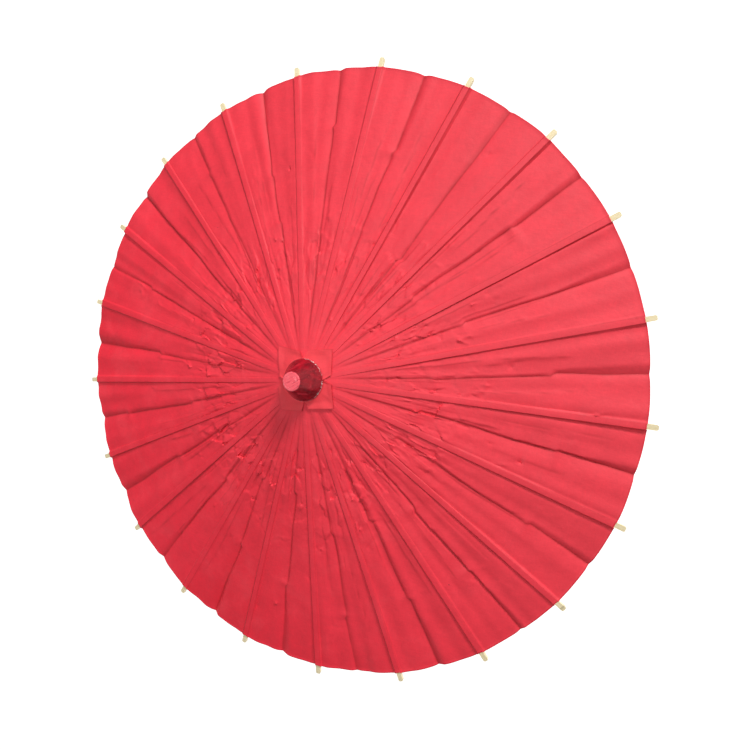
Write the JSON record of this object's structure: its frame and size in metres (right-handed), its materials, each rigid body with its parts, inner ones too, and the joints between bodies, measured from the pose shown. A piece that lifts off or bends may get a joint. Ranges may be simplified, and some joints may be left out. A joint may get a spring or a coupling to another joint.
{
  "type": "oil paper umbrella",
  "caption": "Folding paper umbrella: a pleated red paper canopy on bamboo ribs with stretchers, a sliding runner, a straight shaft with a turned grip, and a lacquered finial.",
  "frame": {"origin": "on the shaft's axis, at the middle of the handle's straight grip", "axes": "+Z along the shaft towards the finial; +X towards the first rib; drawn open"},
  "size_m": [0.5973, 0.599, 0.4167],
  "materials": {
    "paper": "satin",
    "bamboo": "satin",
    "lacquer": "gloss",
    "turned_wood": "satin",
    "shaft_wood": "satin",
    "thread": "matte",
    "spring_steel": "satin"
  },
  "bodies": {
    "shaft_assembly": {"shaft": "shaft_wood", "handle": "turned_wood", "top_hub": "turned_wood", "hub_thread": "thread", "hub_pin": "bamboo", "finial": "lacquer", "canopy": "paper", "crown_patch": "paper", "mid_thread": "thread", "stop_pin": "bamboo", "catch_pin": "spring_steel"},
    "runner_assembly": {"runner": "turned_wood", "runner_thread": "thread"},
    "catch": {"catch_spring": "spring_steel"},
    "rib_01": {"rib_01": "bamboo"},
    "rib_02": {"rib_02": "bamboo"},
    "rib_03": {"rib_03": "bamboo"},
    "rib_04": {"rib_04": "bamboo"},
    "rib_05": {"rib_05": "bamboo"},
    "rib_06": {"rib_06": "bamboo"},
    "rib_07": {"rib_07": "bamboo"},
    "rib_08": {"rib_08": "bamboo"},
    "rib_09": {"rib_09": "bamboo"},
    "rib_10": {"rib_10": "bamboo"},
    "rib_11": {"rib_11": "bamboo"},
    "rib_12": {"rib_12": "bamboo"},
    "rib_13": {"rib_13": "bamboo"},
    "rib_14": {"rib_14": "bamboo"},
    "rib_15": {"rib_15": "bamboo"},
    "rib_16": {"rib_16": "bamboo"},
    "rib_17": {"rib_17": "bamboo"},
    "rib_18": {"rib_18": "bamboo"},
    "rib_19": {"rib_19": "bamboo"},
    "rib_20": {"rib_20": "bamboo"},
    "rib_21": {"rib_21": "bamboo"},
    "stretcher_01": {"stretcher_01": "bamboo"},
    "stretcher_02": {"stretcher_02": "bamboo"},
    "stretcher_03": {"stretcher_03": "bamboo"},
    "stretcher_04": {"stretcher_04": "bamboo"},
    "stretcher_05": {"stretcher_05": "bamboo"},
    "stretcher_06": {"stretcher_06": "bamboo"},
    "stretcher_07": {"stretcher_07": "bamboo"},
    "stretcher_08": {"stretcher_08": "bamboo"},
    "stretcher_09": {"stretcher_09": "bamboo"},
    "stretcher_10": {"stretcher_10": "bamboo"},
    "stretcher_11": {"stretcher_11": "bamboo"},
    "stretcher_12": {"stretcher_12": "bamboo"},
    "stretcher_13": {"stretcher_13": "bamboo"},
    "stretcher_14": {"stretcher_14": "bamboo"},
    "stretcher_15": {"stretcher_15": "bamboo"},
    "stretcher_16": {"stretcher_16": "bamboo"},
    "stretcher_17": {"stretcher_17": "bamboo"},
    "stretcher_18": {"stretcher_18": "bamboo"},
    "stretcher_19": {"stretcher_19": "bamboo"},
    "stretcher_20": {"stretcher_20": "bamboo"},
    "stretcher_21": {"stretcher_21": "bamboo"}
  },
  "joints": [
    {"name": "runner_slide", "type": "slide", "parent": "shaft_assembly", "child": "runner_assembly", "axis": [0, 0, -1], "range_m": [0, 0.21673], "deforming": ["canopy", "crown_patch", "mid_thread", "runner_thread", "catch_spring"]},
    {"name": "catch_press", "type": "hinge", "parent": "shaft_assembly", "child": "catch", "pos_m": [0.00485, 0.00073, 0.24558], "axis": [0.149, -0.9888, 0], "range_deg": [0, 4.8], "stiffness_Nm_per_rad": 0.5},
    {"name": "rib_01_fold", "type": "hinge", "parent": "shaft_assembly", "child": "rib_01", "pos_m": [0.0125, 0, 0.34464], "axis": [0, 1, 0], "range_deg": [0, 77.5]},
    {"name": "stretcher_01_fold", "type": "hinge", "parent": "rib_01", "child": "stretcher_01", "pos_m": [0.14072, 0, 0.32319], "axis": [0, 1, 0], "range_deg": [-155, 0]},
    {"name": "rib_02_fold", "type": "hinge", "parent": "shaft_assembly", "child": "rib_02", "pos_m": [0.01195, 0.00368, 0.34464], "axis": [-0.2948, 0.9556, 0], "range_deg": [0, 77.5]},
    {"name": "stretcher_02_fold", "type": "hinge", "parent": "rib_02", "child": "stretcher_02", "pos_m": [0.13447, 0.04148, 0.32319], "axis": [-0.2948, 0.9556, 0], "range_deg": [-155, 0]},
    {"name": "rib_03_fold", "type": "hinge", "parent": "shaft_assembly", "child": "rib_03", "pos_m": [0.01033, 0.00704, 0.34464], "axis": [-0.5633, 0.8262, 0], "range_deg": [0, 77.5]},
    {"name": "stretcher_03_fold", "type": "hinge", "parent": "rib_03", "child": "stretcher_03", "pos_m": [0.11627, 0.07927, 0.32319], "axis": [-0.5633, 0.8262, 0], "range_deg": [-155, 0]},
    {"name": "rib_04_fold", "type": "hinge", "parent": "shaft_assembly", "child": "rib_04", "pos_m": [0.00779, 0.00977, 0.34464], "axis": [-0.7818, 0.6235, 0], "range_deg": [0, 77.5]},
    {"name": "stretcher_04_fold", "type": "hinge", "parent": "rib_04", "child": "stretcher_04", "pos_m": [0.08774, 0.11002, 0.32319], "axis": [-0.7818, 0.6235, 0], "range_deg": [-155, 0]},
    {"name": "rib_05_fold", "type": "hinge", "parent": "shaft_assembly", "child": "rib_05", "pos_m": [0.00457, 0.01164, 0.34464], "axis": [-0.9309, 0.3653, 0], "range_deg": [0, 77.5]},
    {"name": "stretcher_05_fold", "type": "hinge", "parent": "rib_05", "child": "stretcher_05", "pos_m": [0.05141, 0.13099, 0.32319], "axis": [-0.9309, 0.3653, 0], "range_deg": [-155, 0]},
    {"name": "rib_06_fold", "type": "hinge", "parent": "shaft_assembly", "child": "rib_06", "pos_m": [0.00093, 0.01247, 0.34464], "axis": [-0.9972, 0.0747, 0], "range_deg": [0, 77.5]},
    {"name": "stretcher_06_fold", "type": "hinge", "parent": "rib_06", "child": "stretcher_06", "pos_m": [0.01052, 0.14032, 0.32319], "axis": [-0.9972, 0.0747, 0], "range_deg": [-155, 0]},
    {"name": "rib_07_fold", "type": "hinge", "parent": "shaft_assembly", "child": "rib_07", "pos_m": [-0.00278, 0.01219, 0.34464], "axis": [-0.9749, -0.2225, 0], "range_deg": [0, 77.5]},
    {"name": "stretcher_07_fold", "type": "hinge", "parent": "rib_07", "child": "stretcher_07", "pos_m": [-0.03131, 0.13719, 0.32319], "axis": [-0.9749, -0.2225, 0], "range_deg": [-155, 0]},
    {"name": "rib_08_fold", "type": "hinge", "parent": "shaft_assembly", "child": "rib_08", "pos_m": [-0.00625, 0.01082, 0.34464], "axis": [-0.866, -0.5, 0], "range_deg": [0, 77.5]},
    {"name": "stretcher_08_fold", "type": "hinge", "parent": "rib_08", "child": "stretcher_08", "pos_m": [-0.07036, 0.12187, 0.32319], "axis": [-0.866, -0.5, 0], "range_deg": [-155, 0]},
    {"name": "rib_09_fold", "type": "hinge", "parent": "shaft_assembly", "child": "rib_09", "pos_m": [-0.00916, 0.0085, 0.34464], "axis": [-0.6802, -0.7331, 0], "range_deg": [0, 77.5]},
    {"name": "stretcher_09_fold", "type": "hinge", "parent": "rib_09", "child": "stretcher_09", "pos_m": [-0.10315, 0.09571, 0.32319], "axis": [-0.6802, -0.7331, 0], "range_deg": [-155, 0]},
    {"name": "rib_10_fold", "type": "hinge", "parent": "shaft_assembly", "child": "rib_10", "pos_m": [-0.01126, 0.00542, 0.34464], "axis": [-0.4339, -0.901, 0], "range_deg": [0, 77.5]},
    {"name": "stretcher_10_fold", "type": "hinge", "parent": "rib_10", "child": "stretcher_10", "pos_m": [-0.12678, 0.06105, 0.32319], "axis": [-0.4339, -0.901, 0], "range_deg": [-155, 0]},
    {"name": "rib_11_fold", "type": "hinge", "parent": "shaft_assembly", "child": "rib_11", "pos_m": [-0.01236, 0.00186, 0.34464], "axis": [-0.149, -0.9888, 0], "range_deg": [0, 77.5]},
    {"name": "stretcher_11_fold", "type": "hinge", "parent": "rib_11", "child": "stretcher_11", "pos_m": [-0.13914, 0.02097, 0.32319], "axis": [-0.149, -0.9888, 0], "range_deg": [-155, 0]},
    {"name": "rib_12_fold", "type": "hinge", "parent": "shaft_assembly", "child": "rib_12", "pos_m": [-0.01236, -0.00186, 0.34464], "axis": [0.149, -0.9888, 0], "range_deg": [0, 77.5]},
    {"name": "stretcher_12_fold", "type": "hinge", "parent": "rib_12", "child": "stretcher_12", "pos_m": [-0.13914, -0.02097, 0.32319], "axis": [0.149, -0.9888, 0], "range_deg": [-155, 0]},
    {"name": "rib_13_fold", "type": "hinge", "parent": "shaft_assembly", "child": "rib_13", "pos_m": [-0.01126, -0.00542, 0.34464], "axis": [0.4339, -0.901, 0], "range_deg": [0, 77.5]},
    {"name": "stretcher_13_fold", "type": "hinge", "parent": "rib_13", "child": "stretcher_13", "pos_m": [-0.12678, -0.06105, 0.32319], "axis": [0.4339, -0.901, 0], "range_deg": [-155, 0]},
    {"name": "rib_14_fold", "type": "hinge", "parent": "shaft_assembly", "child": "rib_14", "pos_m": [-0.00916, -0.0085, 0.34464], "axis": [0.6802, -0.7331, 0], "range_deg": [0, 77.5]},
    {"name": "stretcher_14_fold", "type": "hinge", "parent": "rib_14", "child": "stretcher_14", "pos_m": [-0.10315, -0.09571, 0.32319], "axis": [0.6802, -0.7331, 0], "range_deg": [-155, 0]},
    {"name": "rib_15_fold", "type": "hinge", "parent": "shaft_assembly", "child": "rib_15", "pos_m": [-0.00625, -0.01082, 0.34464], "axis": [0.866, -0.5, 0], "range_deg": [0, 77.5]},
    {"name": "stretcher_15_fold", "type": "hinge", "parent": "rib_15", "child": "stretcher_15", "pos_m": [-0.07036, -0.12187, 0.32319], "axis": [0.866, -0.5, 0], "range_deg": [-155, 0]},
    {"name": "rib_16_fold", "type": "hinge", "parent": "shaft_assembly", "child": "rib_16", "pos_m": [-0.00278, -0.01219, 0.34464], "axis": [0.9749, -0.2225, 0], "range_deg": [0, 77.5]},
    {"name": "stretcher_16_fold", "type": "hinge", "parent": "rib_16", "child": "stretcher_16", "pos_m": [-0.03131, -0.13719, 0.32319], "axis": [0.9749, -0.2225, 0], "range_deg": [-155, 0]},
    {"name": "rib_17_fold", "type": "hinge", "parent": "shaft_assembly", "child": "rib_17", "pos_m": [0.00093, -0.01247, 0.34464], "axis": [0.9972, 0.0747, 0], "range_deg": [0, 77.5]},
    {"name": "stretcher_17_fold", "type": "hinge", "parent": "rib_17", "child": "stretcher_17", "pos_m": [0.01052, -0.14032, 0.32319], "axis": [0.9972, 0.0747, 0], "range_deg": [-155, 0]},
    {"name": "rib_18_fold", "type": "hinge", "parent": "shaft_assembly", "child": "rib_18", "pos_m": [0.00457, -0.01164, 0.34464], "axis": [0.9309, 0.3653, 0], "range_deg": [0, 77.5]},
    {"name": "stretcher_18_fold", "type": "hinge", "parent": "rib_18", "child": "stretcher_18", "pos_m": [0.05141, -0.13099, 0.32319], "axis": [0.9309, 0.3653, 0], "range_deg": [-155, 0]},
    {"name": "rib_19_fold", "type": "hinge", "parent": "shaft_assembly", "child": "rib_19", "pos_m": [0.00779, -0.00977, 0.34464], "axis": [0.7818, 0.6235, 0], "range_deg": [0, 77.5]},
    {"name": "stretcher_19_fold", "type": "hinge", "parent": "rib_19", "child": "stretcher_19", "pos_m": [0.08774, -0.11002, 0.32319], "axis": [0.7818, 0.6235, 0], "range_deg": [-155, 0]},
    {"name": "rib_20_fold", "type": "hinge", "parent": "shaft_assembly", "child": "rib_20", "pos_m": [0.01033, -0.00704, 0.34464], "axis": [0.5633, 0.8262, 0], "range_deg": [0, 77.5]},
    {"name": "stretcher_20_fold", "type": "hinge", "parent": "rib_20", "child": "stretcher_20", "pos_m": [0.11627, -0.07927, 0.32319], "axis": [0.5633, 0.8262, 0], "range_deg": [-155, 0]},
    {"name": "rib_21_fold", "type": "hinge", "parent": "shaft_assembly", "child": "rib_21", "pos_m": [0.01195, -0.00368, 0.34464], "axis": [0.2948, 0.9556, 0], "range_deg": [0, 77.5]},
    {"name": "stretcher_21_fold", "type": "hinge", "parent": "rib_21", "child": "stretcher_21", "pos_m": [0.13447, -0.04148, 0.32319], "axis": [0.2948, 0.9556, 0], "range_deg": [-155, 0]}
  ],
  "couplings": [
    {"joint": "rib_01_fold", "follows": "runner_slide", "rad_per_m": 6.241},
    {"joint": "stretcher_01_fold", "follows": "runner_slide", "rad_per_m": -12.482},
    {"joint": "rib_02_fold", "follows": "runner_slide", "rad_per_m": 6.241},
    {"joint": "stretcher_02_fold", "follows": "runner_slide", "rad_per_m": -12.482},
    {"joint": "rib_03_fold", "follows": "runner_slide", "rad_per_m": 6.241},
    {"joint": "stretcher_03_fold", "follows": "runner_slide", "rad_per_m": -12.482},
    {"joint": "rib_04_fold", "follows": "runner_slide", "rad_per_m": 6.241},
    {"joint": "stretcher_04_fold", "follows": "runner_slide", "rad_per_m": -12.482},
    {"joint": "rib_05_fold", "follows": "runner_slide", "rad_per_m": 6.241},
    {"joint": "stretcher_05_fold", "follows": "runner_slide", "rad_per_m": -12.482},
    {"joint": "rib_06_fold", "follows": "runner_slide", "rad_per_m": 6.241},
    {"joint": "stretcher_06_fold", "follows": "runner_slide", "rad_per_m": -12.482},
    {"joint": "rib_07_fold", "follows": "runner_slide", "rad_per_m": 6.241},
    {"joint": "stretcher_07_fold", "follows": "runner_slide", "rad_per_m": -12.482},
    {"joint": "rib_08_fold", "follows": "runner_slide", "rad_per_m": 6.241},
    {"joint": "stretcher_08_fold", "follows": "runner_slide", "rad_per_m": -12.482},
    {"joint": "rib_09_fold", "follows": "runner_slide", "rad_per_m": 6.241},
    {"joint": "stretcher_09_fold", "follows": "runner_slide", "rad_per_m": -12.482},
    {"joint": "rib_10_fold", "follows": "runner_slide", "rad_per_m": 6.241},
    {"joint": "stretcher_10_fold", "follows": "runner_slide", "rad_per_m": -12.482},
    {"joint": "rib_11_fold", "follows": "runner_slide", "rad_per_m": 6.241},
    {"joint": "stretcher_11_fold", "follows": "runner_slide", "rad_per_m": -12.482},
    {"joint": "rib_12_fold", "follows": "runner_slide", "rad_per_m": 6.241},
    {"joint": "stretcher_12_fold", "follows": "runner_slide", "rad_per_m": -12.482},
    {"joint": "rib_13_fold", "follows": "runner_slide", "rad_per_m": 6.241},
    {"joint": "stretcher_13_fold", "follows": "runner_slide", "rad_per_m": -12.482},
    {"joint": "rib_14_fold", "follows": "runner_slide", "rad_per_m": 6.241},
    {"joint": "stretcher_14_fold", "follows": "runner_slide", "rad_per_m": -12.482},
    {"joint": "rib_15_fold", "follows": "runner_slide", "rad_per_m": 6.241},
    {"joint": "stretcher_15_fold", "follows": "runner_slide", "rad_per_m": -12.482},
    {"joint": "rib_16_fold", "follows": "runner_slide", "rad_per_m": 6.241},
    {"joint": "stretcher_16_fold", "follows": "runner_slide", "rad_per_m": -12.482},
    {"joint": "rib_17_fold", "follows": "runner_slide", "rad_per_m": 6.241},
    {"joint": "stretcher_17_fold", "follows": "runner_slide", "rad_per_m": -12.482},
    {"joint": "rib_18_fold", "follows": "runner_slide", "rad_per_m": 6.241},
    {"joint": "stretcher_18_fold", "follows": "runner_slide", "rad_per_m": -12.482},
    {"joint": "rib_19_fold", "follows": "runner_slide", "rad_per_m": 6.241},
    {"joint": "stretcher_19_fold", "follows": "runner_slide", "rad_per_m": -12.482},
    {"joint": "rib_20_fold", "follows": "runner_slide", "rad_per_m": 6.241},
    {"joint": "stretcher_20_fold", "follows": "runner_slide", "rad_per_m": -12.482},
    {"joint": "rib_21_fold", "follows": "runner_slide", "rad_per_m": 6.241},
    {"joint": "stretcher_21_fold", "follows": "runner_slide", "rad_per_m": -12.482}
  ]
}
